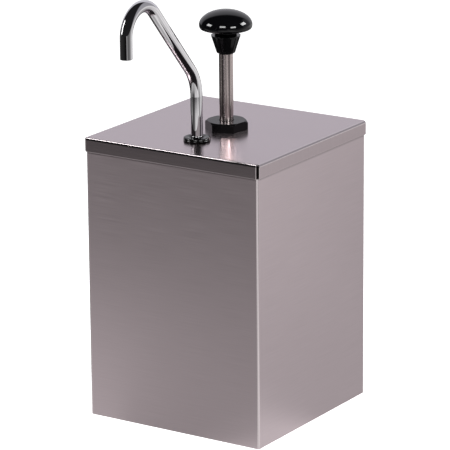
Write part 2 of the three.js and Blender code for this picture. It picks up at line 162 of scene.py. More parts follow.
def linear(hexColour):
    # an sRGB hex colour as linear light
    parts = [int(hexColour[i:i + 2], 16) / 255 for i in (1, 3, 5)]
    return tuple(c / 12.92 if c <= 0.04045 else ((c + 0.055) / 1.055) ** 2.4 for c in parts) + (1.0,)


def addNode(tree, kind, values=None, links=None, **settings):
    made = tree.nodes.new(kind)
    for name, value in settings.items():
        setattr(made, name, value)
    for name, value in (values or {}).items():
        made.inputs[name].default_value = value
    for name, source in (links or {}).items():
        tree.links.new(source, made.inputs[name])
    return made


def newMaterial(name, **sockets):
    material = bpy.data.materials.new(name)
    material.use_nodes = True
    shader = material.node_tree.nodes["Principled BSDF"]
    for socket, value in sockets.items():
        shader.inputs[socket.replace("_", " ")].default_value = value
    return material, material.node_tree, shader


def finishLook(tree, shader, colour, uneven, roughness, relief, bump, depth):
    # the last part of each material: colour, roughness between two limits, and relief with a depth in mm
    tree.links.new(colour, shader.inputs["Base Color"])
    rough = addNode(tree, "ShaderNodeMapRange",
                    {"From Min": 0.3, "From Max": 0.7, "To Min": roughness[0], "To Max": roughness[1]},
                    {"Value": uneven})
    tree.links.new(rough.outputs["Result"], shader.inputs["Roughness"])
    skin = addNode(tree, "ShaderNodeBump", {"Strength": bump, "Distance": depth * mm}, {"Height": relief})
    tree.links.new(skin.outputs["Normal"], shader.inputs["Normal"])


# a Mix node set to colour takes its two colours at inputs 6 and 7, and gives the blend at output 2

brushedSheetLook = {
    "dark": "#cbbdc1", "light": "#d2c4c8",   # stainless with a slightly warm cast
    "roughness": (0.31, 0.37),
    "anisotropy": 0.55,
    "grainLength": 45,                       # mm, how far one scratch of the belt runs
    "grainPitch": 0.7,                       # mm; real scratches are about 0.1 apart, drawn coarser to show
    "bump": 0.016, "scratchDepth": 0.02,     # mm
    "smudge": 120,                           # mm, across a patch of uneven wear
    "rubbedAndShadowed": (244.6, 246.2, 0.7),           # mm, mm, and how dark: a painted shadow line on the wall under the lid's skirt
}


def brushedSheet(name, lengthwise, turn=0.25, shadeBy=1.0, tangentAxis=None, smoother=1.0, rubbedAndShadowed=False):
    # No. 4 stainless sheet, belt brushed: soft reflections, drawn out square to the fine scratches
    look = brushedSheetLook
    material, tree, shader = newMaterial(name, Metallic=1.0, Anisotropic=look["anisotropy"],
                                         Anisotropic_Rotation=turn)
    spot = addNode(tree, "ShaderNodeTexCoord").outputs["Object"]
    along, across = 1000 / look["grainLength"], 1000 / look["grainPitch"]
    drawnOut = addNode(tree, "ShaderNodeMapping",
                       {"Scale": tuple(along if axis in lengthwise else across for axis in "xyz")},
                       {"Vector": spot})
    grain = addNode(tree, "ShaderNodeTexNoise", {"Scale": 1.0, "Detail": 2.0, "Roughness": 0.6},
                    {"Vector": drawnOut.outputs["Vector"]}).outputs["Fac"]
    smudge = addNode(tree, "ShaderNodeTexNoise",
                     {"Scale": 1000 / look["smudge"], "Detail": 2.0, "Roughness": 0.5},
                     {"Vector": spot}).outputs["Fac"]
    contrast = addNode(tree, "ShaderNodeMapRange", {"From Min": 0.25, "From Max": 0.75}, {"Value": grain})
    colour = addNode(tree, "ShaderNodeMix", {6: linear(look["dark"]), 7: linear(look["light"])},
                     {0: contrast.outputs["Result"]}, data_type="RGBA").outputs[2]
    # shadeBy darkens the colour: painted shade
    if shadeBy != 1.0:
        colour = addNode(tree, "ShaderNodeHueSaturation", {"Value": shadeBy},
                         {"Color": colour}).outputs["Color"]
    # painted shadow: the wall darkens upwards into the band under the lid's skirt
    if rubbedAndShadowed:
        start, end, dark = look["rubbedAndShadowed"]
        height = addNode(tree, "ShaderNodeSeparateXYZ", links={"Vector": spot}).outputs["Z"]
        line = addNode(tree, "ShaderNodeMapRange",
                       {"From Min": start * mm, "From Max": end * mm, "To Min": 1.0, "To Max": dark},
                       {"Value": height})
        colour = addNode(tree, "ShaderNodeHueSaturation",
                         links={"Color": colour, "Value": line.outputs["Result"]}).outputs["Color"]
    if tangentAxis:
        way = addNode(tree, "ShaderNodeTangent", direction_type="RADIAL", axis=tangentAxis)
        tree.links.new(way.outputs["Tangent"], shader.inputs["Tangent"])
    roughness = [level * smoother for level in look["roughness"]]
    uneven = addNode(tree, "ShaderNodeMix", {"Factor": 0.3}, {"A": grain, "B": smudge}).outputs["Result"]
    finishLook(tree, shader, colour, uneven, roughness, grain, look["bump"], look["scratchDepth"])
    return material


foldedSheetLook = {
    # lighter than the walls' sheet: a painted highlight along every fold
    "dark": "#ded3d5", "light": "#e9e0e2",
    "roughness": (0.09, 0.14),
    "grit": 1.2,                             # mm, across the marks of the folding bar
    "bump": 0.03, "markDepth": 0.006,        # mm
    "slitShade": "#151112",                     # painted shade at the top of each corner bend, where it shows dark in the lid's open corner slit
    "slitShaded": (246.4, 247.2),              # mm, where it fades in
}


def foldedSheet(name, slitShaded=False):
    # the same sheet where it was folded: smoother, with the scratches pressed flat, and painted lighter
    # than the walls as a painted highlight
    look = foldedSheetLook
    material, tree, shader = newMaterial(name, Metallic=1.0)
    spot = addNode(tree, "ShaderNodeTexCoord").outputs["Object"]
    grain = addNode(tree, "ShaderNodeTexNoise",
                    {"Scale": 1000 / look["grit"], "Detail": 3.0, "Roughness": 0.6},
                    {"Vector": spot}).outputs["Fac"]
    colour = addNode(tree, "ShaderNodeMix", {6: linear(look["dark"]), 7: linear(look["light"])}, {0: grain},
                     data_type="RGBA").outputs[2]
    # painted shade: the bends turn near black towards the top, where the lid's corner slits show them
    if slitShaded:
        low, high = look["slitShaded"]
        height = addNode(tree, "ShaderNodeSeparateXYZ", links={"Vector": spot}).outputs["Z"]
        mark = addNode(tree, "ShaderNodeMapRange", {"From Min": low * mm, "From Max": high * mm},
                       {"Value": height})
        colour = addNode(tree, "ShaderNodeMix", {7: linear(look["slitShade"])},
                         {0: mark.outputs["Result"], 6: colour}, data_type="RGBA").outputs[2]
    finishLook(tree, shader, colour, grain, look["roughness"], grain, look["bump"], look["markDepth"])
    return material


polishLook = {
    "pitch": 0.8, "length": 30,              # mm, the polishing lines, drawn coarser to show
    "haze": 18,                              # mm, across a patch of haze or wiping
    "bump": 0.03, "lineDepth": 0.02,         # mm
    "streaks": 0.2,                          # how much of the colour follows the lines
    "anisotropy": 0.0, "turn": 0.0,
}


def polishedMetal(name, dark, light, roughness, **own):
    # polished metal: a clear reflection with faint haze, wiping marks and fine lines along z
    look = {**polishLook, **own}
    material, tree, shader = newMaterial(name, Metallic=1.0, Anisotropic=look["anisotropy"],
                                         Anisotropic_Rotation=look["turn"])
    spot = addNode(tree, "ShaderNodeTexCoord").outputs["Object"]
    across, along = 1000 / look["pitch"], 1000 / look["length"]
    drawnOut = addNode(tree, "ShaderNodeMapping", {"Scale": (across, across, along)}, {"Vector": spot})
    lines = addNode(tree, "ShaderNodeTexNoise", {"Scale": 1.0, "Detail": 2.0, "Roughness": 0.6},
                    {"Vector": drawnOut.outputs["Vector"]}).outputs["Fac"]
    haze = addNode(tree, "ShaderNodeTexNoise",
                   {"Scale": 1000 / look["haze"], "Detail": 3.0, "Roughness": 0.6},
                   {"Vector": spot}).outputs["Fac"]
    tint = addNode(tree, "ShaderNodeMix", {"Factor": look["streaks"]}, {"A": haze, "B": lines})
    contrast = addNode(tree, "ShaderNodeMapRange", {"From Min": 0.3, "From Max": 0.7},
                       {"Value": tint.outputs["Result"]})
    colour = addNode(tree, "ShaderNodeMix", {6: linear(dark), 7: linear(light)},
                     {0: contrast.outputs["Result"]}, data_type="RGBA").outputs[2]
    uneven = addNode(tree, "ShaderNodeMix", {"Factor": 0.5}, {"A": lines, "B": haze}).outputs["Result"]
    finishLook(tree, shader, colour, uneven, roughness, lines, look["bump"], look["lineDepth"])
    return material


mouldingLook = {
    "flow": (24, 60),                        # mm, across and along the marks where the melt flowed
    "rubbedAndShadowed": 7,                             # mm, across a patch that hands or wiping have rubbed
    "bump": 0.2,
}


def mouldedPlastic(name, dark, light, roughness, grit, depth, **sockets):
    # a moulding: even colour with faint flow marks, rubbed patches, and orange peel (grit and depth in mm)
    look = mouldingLook
    material, tree, shader = newMaterial(name, **sockets)
    spot = addNode(tree, "ShaderNodeTexCoord").outputs["Object"]
    across, along = (1000 / size for size in look["flow"])
    drawnOut = addNode(tree, "ShaderNodeMapping", {"Scale": (across, across, along)}, {"Vector": spot})
    flow = addNode(tree, "ShaderNodeTexNoise", {"Scale": 1.0, "Detail": 3.0, "Roughness": 0.55},
                   {"Vector": drawnOut.outputs["Vector"]}).outputs["Fac"]
    peel = addNode(tree, "ShaderNodeTexNoise", {"Scale": 1000 / grit, "Detail": 2.0, "Roughness": 0.5},
                   {"Vector": spot}).outputs["Fac"]
    rubbedAndShadowed = addNode(tree, "ShaderNodeTexNoise",
                     {"Scale": 1000 / look["rubbedAndShadowed"], "Detail": 4.0, "Roughness": 0.65},
                     {"Vector": spot}).outputs["Fac"]
    colour = addNode(tree, "ShaderNodeMix", {6: linear(dark), 7: linear(light)}, {0: flow},
                     data_type="RGBA").outputs[2]
    uneven = addNode(tree, "ShaderNodeMix", {"Factor": 0.6}, {"A": flow, "B": rubbedAndShadowed}).outputs["Result"]
    finishLook(tree, shader, colour, uneven, roughness, peel, look["bump"], depth)
    return material


# belt brushed sheet: a soft sheen drawn out upright, with a painted shadow line under the lid's skirt
wallSteel = brushedSheet("brushed_stainless_walls", "xy", rubbedAndShadowed=True)
# stretched smooth over the folding bar, so a bend catches a bright line, helped by a painted highlight in
# its lighter colour; painted shade darkens the top of each corner
cornerSteel = foldedSheet("folded_stainless_corners", slitShaded=True)
# brushed along x, and a little smoother than the walls from years of wiping
lidSteel = brushedSheet("brushed_stainless_lid", "x", turn=0.0, tangentAxis="X", smoother=0.62)
# the skirts were brushed before folding, so their grain runs across one and up the other
# the front skirt is painted darker than the side skirts (shadeBy): painted shade
skirtSteel = brushedSheet("brushed_stainless_lid_front", "xy", shadeBy=0.86)
sideSteel = brushedSheet("brushed_stainless_lid_side", "z", turn=0.0)
# the lid's folds and cut edges: smooth, with a clear thin light line that is partly a painted highlight
# from their lighter colour
foldSteel = foldedSheet("folded_stainless_lid_edges")
# the tray underneath is the same sheet, seldom wiped, with a soft even sheen
panSteel = brushedSheet("brushed_stainless_pan", "x", turn=0.0, tangentAxis="X")
# bright chrome plate over a buffed tube: close to a mirror, with hard-edged highlights
chromePlate = polishedMetal("chrome_plated_tube", "#e2e0e3", "#f2f1f3", (0.03, 0.06), bump=0.003)
# centreless ground shaft: its rings of fine scratches draw what it reflects into crisp upright streaks
groundSteel = polishedMetal("ground_stainless_shaft", "#8e7f80", "#fff1ee", (0.13, 0.19), anisotropy=0.8,
                            pitch=1.5, length=400, bump=0.01, streaks=1.0, turn=0.25)
# small turned parts: a little duller than the shaft, with a satin glint
smallSteel = polishedMetal("turned_stainless_parts", "#b9b6b4", "#d2cfcc", (0.12, 0.26))
# wire drawn through a die: grey and faintly lined, so its highlight breaks up
springWire = polishedMetal("drawn_spring_wire", "#a9a7a3", "#c6c4bf", (0.2, 0.36))
# brass turned from bar: warm yellow with a satin glint
brassBar = polishedMetal("turned_brass", "#b8914a", "#d6b46c", (0.18, 0.34))
# phenolic buffed after moulding: a deep glassy black with clear reflections
phenolic = mouldedPlastic("black_phenolic_polished", "#040405", "#08080a", (0.03, 0.07), 2.5, 0.004,
                          IOR=1.5, Specular_IOR_Level=0.4)
# nylon straight from a polished mould: black with a bright but broken gloss
blackNylon = mouldedPlastic("black_nylon_moulded", "#060607", "#0b0b0c", (0.05, 0.11), 0.8, 0.004,
                            IOR=1.5, Specular_IOR_Level=0.27)
# the same nylon where a spanner and a cloth have rubbed it: duller, with wide faint highlights
nutNylon = mouldedPlastic("black_nylon_rubbed", "#060506", "#0b0a0b", (0.17, 0.27), 0.8, 0.004,
                          IOR=1.5, Specular_IOR_Level=0.22)
# nitrile from a fine mould, oiled by hands: black with a soft gloss on its beads
nitrile = mouldedPlastic("black_nitrile_moulded", "#070707", "#0d0c0c", (0.08, 0.17), 1.2, 0.006,
                         IOR=1.52, Specular_IOR_Level=0.35)
# acetal with the fine grit of its mould: an even milky white with a waxy sheen
acetal = mouldedPlastic("white_acetal_moulded", "#cfccc3", "#dddbd3", (0.28, 0.45), 0.9, 0.02, IOR=1.48)
# natural polythene: a slightly green, soft white with a dull, wavy skin
polythene = mouldedPlastic("natural_polythene_jar", "#c3c7c1", "#d5d9d3", (0.3, 0.5), 1.4, 0.04, IOR=1.51)
# silicone seals: matt brick red
silicone = mouldedPlastic("red_silicone_moulded", "#7d2f23", "#94402f", (0.4, 0.58), 0.8, 0.02, IOR=1.43)
print("materials made")


# camera

cameraSpot = {"azimuth": 33.165, "elevation": 16.26, "roll": -0.474, "focal": 261.4,
              "location": (1.5488, -2.3738, 0.9967)}


def addCamera():
    lens = bpy.data.cameras.new("camera")
    lens.lens = cameraSpot["focal"]
    lens.sensor_width = 36
    lens.clip_end = 50
    camera = bpy.data.objects.new("camera", lens)
    bpy.context.scene.collection.objects.link(camera)
    turn = Matrix.Rotation(radians(cameraSpot["azimuth"]), 4, "Z")
    tip = Matrix.Rotation(radians(90 - cameraSpot["elevation"]), 4, "X")
    roll = Matrix.Rotation(radians(cameraSpot["roll"]), 4, "Z")
    camera.matrix_world = Matrix.Translation(cameraSpot["location"]) @ turn @ tip @ roll
    bpy.context.scene.camera = camera


addCamera()
print("camera placed")


# box

squareTo = 0.995     # a face whose normal is nearer to an axis than this cosine counts as flat sheet

# tabRelief is how far the seam's tab stops above the floor
boxSheet = {"width": 181, "height": 258.7, "sheet": 1, "bend": 2.2, "bendSteps": 8, "tab": 12,
            "seamGap": 0.3, "tabRelief": 13, "edge": 0.15}


def makeBoxWrap():
    s = boxSheet
    half, bend = s["width"] / 2, s["bend"]
    deselectAll()
    bpy.ops.mesh.primitive_cube_add(size=1, location=(0, 0, s["height"] / 2 * mm),
                                    scale=(s["width"] * mm, s["width"] * mm, s["height"] * mm))
    piece = bpy.context.object
    piece.name = "box_sheet"
    bpy.ops.object.transform_apply(location=True, rotation=True, scale=True)
    startEdit(piece)
    pick(piece, "FACE", lambda p, n: abs(n.z) > 0.5)
    bpy.ops.mesh.delete(type="FACE")                  # open top and bottom
    pick(piece, "EDGE", lambda p, d: abs(d.z) > 0.9 and p.x < 0 < p.y)
    bpy.ops.mesh.edge_split(type="EDGE")              # the sheet's two ends meet at this corner
    pick(piece, "EDGE", lambda p, d: abs(d.z) > 0.9 and not p.x < 0 < p.y)
    bpy.ops.mesh.bevel(offset=bend * mm, offset_type="OFFSET", segments=s["bendSteps"], affect="EDGES")
    # the rear wall's end turns in behind the left wall
    mesh = bmesh.from_edit_mesh(piece.data)
    bpy.ops.mesh.select_mode(type="EDGE")
    bpy.ops.mesh.select_all(action="DESELECT")
    for edge in mesh.edges:
        middle = (edge.verts[0].co + edge.verts[1].co) / 2
        if edge.is_boundary and middle.x < -(half - 1) * mm and middle.y > (half - 1) * mm:
            edge.select_set(edge.link_faces[0].normal.y > 0.9)
    bmesh.update_edit_mesh(piece.data)
    tabOut = -half + s["sheet"] + s["seamGap"]
    bpy.ops.transform.translate(value=((tabOut + bend + half) * mm, 0, 0))
    bpy.ops.mesh.spin(steps=s["bendSteps"], angle=radians(90), axis=(0, 0, -1),
                      center=((tabOut + bend) * mm, (half - bend) * mm, 0))
    extrudeBy(0, -s["tab"], 0)
    pick(piece, "FACE", lambda p, n: p.x < 0 and abs(p.x - tabOut * mm) < hair)
    bpy.ops.mesh.bisect(plane_co=(0, 0, s["tabRelief"] * mm), plane_no=(0, 0, 1))
    pick(piece, "FACE", lambda p, n: abs(p.x - tabOut * mm) < hair and p.z < s["tabRelief"] * mm)
    bpy.ops.mesh.delete(type="FACE")
    bpy.ops.mesh.select_all(action="SELECT")
    bpy.ops.mesh.remove_doubles(threshold=0.001 * mm)
    endEdit()
    return piece


def boxWrap():
    piece = makeBoxWrap()
    modify(piece, "SOLIDIFY", thickness=boxSheet["sheet"] * mm, offset=-1, use_even_offset=True)
    softenEdges(piece, boxSheet["edge"], segments=2, angle=50)
    shade(piece, angle=40)
    place(piece, "box", "brushed_steel", wallSteel, "box_wrap")
    piece.data.materials.append(cornerSteel)
    for face in piece.data.polygons:
        if max(abs(part) for part in face.normal) < squareTo:
            face.material_index = 1                   # bends and softened edges


boxWrap()
print("box made")


# lid

lidSheet = {"width": 184, "top": 260, "skirt": 13, "sheet": 1, "bend": 2.3, "bendSteps": 6,
            "neckHole": 12.9, "spoutHole": 8.3, "spoutY": -48, "edge": 0.45}


def lidPanel():
    s = lidSheet
    flat = s["width"] / 2 - s["bend"]
    deselectAll()
    bpy.ops.mesh.primitive_plane_add(size=2 * flat * mm, location=(0, 0, s["top"] * mm))
    piece = bpy.context.object
    piece.name = "lid_sheet"
    bpy.ops.object.transform_apply(location=True, rotation=True, scale=True)
    startEdit(piece)
    for x, y in ((1, 0), (0, 1), (-1, 0), (0, -1)):
        # each side is folded by itself, so the corners stay open
        pick(piece, "EDGE", lambda p, d: p.x * x + p.y * y > (flat - 0.01) * mm
             and p.z > (s["top"] - 0.01) * mm and abs(p.x * y) + abs(p.y * x) < 1 * mm)
        bpy.ops.mesh.spin(steps=s["bendSteps"], angle=radians(90), axis=(y, -x, 0),
                          center=(x * flat * mm, y * flat * mm, (s["top"] - s["bend"]) * mm))
        extrudeBy(0, 0, s["bend"] - s["skirt"])
    bpy.ops.mesh.select_all(action="SELECT")
    bpy.ops.mesh.normals_make_consistent(inside=False)
    mesh = bmesh.from_edit_mesh(piece.data)
    top = max(mesh.faces, key=lambda f: f.calc_area())
    if top.normal.z < 0:
        bpy.ops.mesh.flip_normals()
    endEdit()
    modify(piece, "SOLIDIFY", thickness=s["sheet"] * mm, offset=-1, use_even_offset=True)
    cutRound(piece, s["neckHole"], s["top"] - 10, s["top"] + 10)
    cutRound(piece, s["spoutHole"], s["top"] - 10, s["top"] + 10, y=s["spoutY"])
    softenEdges(piece, s["edge"], segments=3, angle=50)
    shade(piece, angle=40)
    place(piece, "lid", "brushed_steel", lidSteel, "lid_panel")
    # the grain runs along the sheet, so the front and side skirts take their own, and so do the folds
    for extra in (skirtSteel, sideSteel, foldSteel):
        piece.data.materials.append(extra)
    for face in piece.data.polygons:
        lowest = face.center.z < (s["top"] - s["skirt"] + 0.1) * mm
        if lowest or max(abs(part) for part in face.normal) < squareTo:
            face.material_index = 3
        elif abs(face.normal.z) < 0.1:
            face.material_index = 1 if abs(face.normal.y) > 0.9 else 2


lidPanel()
print("lid made")


# lock nut

# turn is in degrees; slope is how steeply the chamfer falls; ceiling is the nut's top wall
lockNutSizes = {"flats": 34, "bottom": 260, "height": 8.2, "turn": 21.8, "chamfer": 17.4, "slope": 0.8,
                "bore": 12.7, "ceiling": 2.5, "hole": 6.9, "round": 0.55}


def lockNut():
    s = lockNutSizes
    corner, top = s["flats"] / sqrt(3), s["bottom"] + s["height"]
    deselectAll()
    bpy.ops.mesh.primitive_cylinder_add(vertices=6, radius=corner * mm, depth=s["height"] * mm,
                                        location=(0, 0, (s["bottom"] + s["height"] / 2) * mm))
    piece = bpy.context.object
    piece.name = "hex_nut"
    startEdit(piece)
    bpy.ops.mesh.select_all(action="SELECT")
    # the primitive's first corner is on +y
    bpy.ops.transform.rotate(value=radians(90 - s["turn"]), orient_axis="Z", orient_type="GLOBAL",
                             center_override=(0, 0, 0))
    endEdit()
    drop = (corner + 1 - s["chamfer"]) * s["slope"]
    cone = turned("cone", [(0, s["bottom"] - 1), (corner + 1, s["bottom"] - 1), (corner + 1, top - drop),
                           (s["chamfer"], top), (0, top)], steps=96)
    modify(piece, "BOOLEAN", object=cone, operation="INTERSECT", solver="EXACT")
    bpy.data.objects.remove(cone)
    cutRound(piece, s["bore"], s["bottom"] - 1, top - s["ceiling"])
    cutRound(piece, s["hole"], s["bottom"] - 2, top + 1)
    startEdit(piece)
    bpy.ops.mesh.select_all(action="SELECT")
    bpy.ops.mesh.remove_doubles(threshold=hair)
    bpy.ops.mesh.dissolve_limited(angle_limit=radians(1))
    endEdit()
    softenEdges(piece, s["round"], segments=3, angle=25)
    shade(piece, angle=40)
    place(piece, "lid", "black_plastic", nutNylon, "lock_nut")


lockNut()


# rubber grommet round the spout

grommetSizes = {"y": -48, "inner": 5.5, "bottom": 256.6, "groove": 8.1, "grooveFrom": 258.95,
                "grooveTo": 260.05, "top": 263.5}


def spoutGrommet():
    s = grommetSizes
    inner, low, groove, top = s["inner"], s["bottom"], s["groove"], s["top"]
    under, over = s["grooveFrom"], s["grooveTo"]
    # the foot under the lid, the groove that holds the lid's sheet, two beads, and the lip on the tube
    profile = [(inner, low), (9.6, low), (10.5, low + 0.8), (10.5, under), (groove, under), (groove, over),
               (11.6, over), (12.05, 260.35), (12.1, 260.8), (11.75, 261.15), (11.65, 261.4), (11.9, 261.7),
               (12.0, 262.2), (11.8, 262.9), (11.2, 263.3), (10.2, top), (8.6, top), (7.3, 263.25),
               (6.4, 262.7), (5.8, 262.3), (inner, 262.2), (inner, low)]
    piece = turned("grommet", profile, steps=72, y=s["y"])
    shade(piece, angle=50)
    place(piece, "lid", "black_rubber", nitrile, "spout_grommet")


spoutGrommet()
print("nut and grommet made")


# knob and collar

knobSizes = {"radius": 23.8, "widest": 355.4, "top": 368.9, "rim": 23.0, "rimHeight": 352.7, "neck": 10,
             "foot": 346, "bore": 6.6, "boreTop": 358.4, "domeSteps": 22}


def plungerKnob():
    s = knobSizes
    under = [(s["bore"], s["foot"]), (s["neck"] - 0.4, s["foot"]), (s["neck"], s["foot"] + 0.4),
             (s["neck"], 348.6), (10.3, 349.3), (11.2, 349.8), (13, 350.1), (17, 350.7), (21, 351.5),
             (22.2, 351.9), (22.8, 352.3), (s["rim"] + 0.25, s["rimHeight"] + 0.3), (23.6, 353.9),
             (23.76, 354.7)]
    angles = [k / s["domeSteps"] * pi / 2 for k in range(s["domeSteps"] + 1)]
    rise = s["top"] - s["widest"]
    dome = [(s["radius"] * cos(a), s["widest"] + rise * sin(a)) for a in angles[:-1]] + [(0, s["top"])]
    piece = turned("knob_mushroom", under + dome, steps=96)
    startEdit(piece)
    pick(piece, "EDGE", lambda p, d: abs(p.z - s["foot"] * mm) < hair
         and abs(p.xy.length - s["bore"] * mm) < 0.05 * mm)
    # the blind hole for the insert
    extrudeBy(0, 0, s["boreTop"] - s["foot"])
    bpy.ops.mesh.edge_face_add()
    bpy.ops.mesh.select_all(action="SELECT")
    bpy.ops.mesh.normals_make_consistent(inside=False)
    endEdit()
    shade(piece, angle=50, weighted=False)
    place(piece, "plunger", "black_plastic", phenolic, "plunger_knob")


plungerKnob()

# the bands are left plain; footRing is inset in the foot's face, clear of the bore
collarSizes = {"bottom": 330.3, "top": 346, "topRadius": 13.3, "bottomRadius": 8.3, "flutes": 16,
               "fluteDepth": 0.55, "fluteEdge": 0.12, "lowBand": 1.5, "highBand": 1.1, "footRing": 1.2,
               "bore": 6.5, "boreTop": 344.2, "hole": 4.3, "edge": 0.16}


def knobCollar():
    s = collarSizes
    height = s["top"] - s["bottom"]
    deselectAll()
    bpy.ops.mesh.primitive_cone_add(vertices=s["flutes"] * 2, radius1=s["bottomRadius"] * mm,
                                    radius2=s["topRadius"] * mm, depth=height * mm,
                                    location=(0, 0, (s["bottom"] + height / 2) * mm))
    piece = bpy.context.object
    piece.name = "fluted_collar"
    bpy.ops.object.transform_apply(location=True, rotation=True, scale=True)
    startEdit(piece)
    # a plain band is left above the flutes and below them
    for z in (s["bottom"] + s["lowBand"], s["top"] - s["highBand"]):
        bpy.ops.mesh.select_all(action="SELECT")
        bpy.ops.mesh.bisect(plane_co=(0, 0, z * mm), plane_no=(0, 0, 1))
    middle = (s["bottom"] + s["top"]) / 2 * mm
    mesh = bmesh.from_edit_mesh(piece.data)
    bpy.ops.mesh.select_mode(type="FACE")
    bpy.ops.mesh.select_all(action="DESELECT")
    sides = [f for f in mesh.faces
             if abs(f.normal.z) < 0.7 and abs(f.calc_center_median().z - middle) < 1 * mm]
    for face in sides:
        spot = face.calc_center_median()
        step = round((spot.xy.angle_signed(Vector((0, 1))) % (2 * pi)) / (pi / s["flutes"]) - 0.5)
        face.select_set(step % 2 == 0)
    bmesh.update_edit_mesh(piece.data)
    bpy.ops.mesh.inset(thickness=s["fluteEdge"] * mm, use_individual=True)
    bpy.ops.mesh.extrude_region_shrink_fatten(TRANSFORM_OT_shrink_fatten={"value": -s["fluteDepth"] * mm})
    pick(piece, "FACE", lambda p, n: n.z < -0.95)
    bpy.ops.mesh.inset(thickness=s["footRing"] * mm)
    endEdit()
    cutRound(piece, s["bore"], s["bottom"] - 1, s["boreTop"])
    cutRound(piece, s["hole"], s["bottom"], s["top"] + 1)
    softenEdges(piece, s["edge"], segments=2, angle=24)
    shade(piece, angle=40)
    place(piece, "plunger", "black_plastic", blackNylon, "knob_collar")


knobCollar()
print("knob and collar made")


# shaft

shaftSizes = {"radius": 6.35, "bore": 5.3, "bottom": 140, "top": 343.7, "outerEdge": 0.3, "innerEdge": 0.2}


def plungerShaft():
    s = shaftSizes
    r, b, low, top = s["radius"], s["bore"], s["bottom"], s["top"]
    out, inner = s["outerEdge"], s["innerEdge"]
    profile = [(b + inner, low), (r - out, low), (r, low + out), (r, top - out), (r - out, top),
               (b + inner, top), (b, top - inner), (b, low + inner), (b + inner, low)]
    piece = turned("shaft_tube", profile, steps=72)
    shade(piece, angle=35)
    place(piece, "plunger", "polished_steel", groundSteel, "plunger_tube")


plungerShaft()


# spout

# lean is in degrees from upright; reach runs from the upright foot to the outlet's middle
spoutSizes = {"y": -48, "radius": 5.4, "wall": 0.9, "bottom": 238, "lean": 41.7, "lowBend": 40,
              "highBend": 23.8, "reach": 106.8, "tip": 355, "bendStart": 300, "sides": 56, "lowSteps": 22,
              "highSteps": 56, "edge": 0.2}


def spoutTube():
    s = spoutSizes
    a, y, low, high = radians(s["lean"]), s["y"], s["lowBend"], s["highBend"]
    tipY = y - s["reach"]
    lineStart = (y - low * (1 - cos(a)), s["bendStart"] + low * sin(a))
    hoopY = tipY + high
    lineLength = (lineStart[0] - (hoopY + high * cos(a))) / sin(a)
    hoopZ = lineStart[1] + lineLength * cos(a) - high * sin(a)
    deselectAll()
    bpy.ops.mesh.primitive_circle_add(vertices=s["sides"], radius=s["radius"] * mm,
                                      location=(0, y * mm, s["bottom"] * mm))
    piece = bpy.context.object
    piece.name = "bent_spout"
    bpy.ops.object.transform_apply(location=True, rotation=True, scale=True)
    startEdit(piece)
    bpy.ops.mesh.select_all(action="SELECT")
    extrudeBy(0, 0, s["bendStart"] - s["bottom"])
    bpy.ops.mesh.spin(steps=s["lowSteps"], angle=a, axis=(-1, 0, 0),
                      center=(0, (y - low) * mm, s["bendStart"] * mm))
    extrudeBy(0, -lineLength * sin(a), lineLength * cos(a))
    bpy.ops.mesh.spin(steps=s["highSteps"], angle=pi - a, axis=(-1, 0, 0),
                      center=(0, hoopY * mm, hoopZ * mm))
    extrudeBy(0, 0, s["tip"] - hoopZ)
    bpy.ops.mesh.select_all(action="SELECT")
    bpy.ops.mesh.remove_doubles(threshold=0.001 * mm)
    bpy.ops.mesh.normals_make_consistent(inside=False)
    # the tube is open, so one face tells which way its skin points
    mesh = bmesh.from_edit_mesh(piece.data)
    lowest = min(mesh.faces, key=lambda f: f.calc_center_median().z)
    outward = lowest.calc_center_median() - Vector((0, y * mm, lowest.calc_center_median().z))
    if lowest.normal.dot(outward) < 0:
        bpy.ops.mesh.flip_normals()
    endEdit()
    modify(piece, "SOLIDIFY", thickness=s["wall"] * mm, offset=-1, use_even_offset=True)
    softenEdges(piece, s["edge"], segments=2, angle=60)
    shade(piece, angle=45)
    place(piece, "spout", "chrome", chromePlate, "spout_tube")


spoutTube()
print("shaft and spout made")


# jar

jarSizes = {"bottom": 152, "top": 162, "floorHeight": 1.3, "height": 226, "wall": 2.4, "corner": 26,
            "cornerSteps": 12, "foot": 5, "footSteps": 5, "rim": 171, "lip": 9, "edge": 0.7}


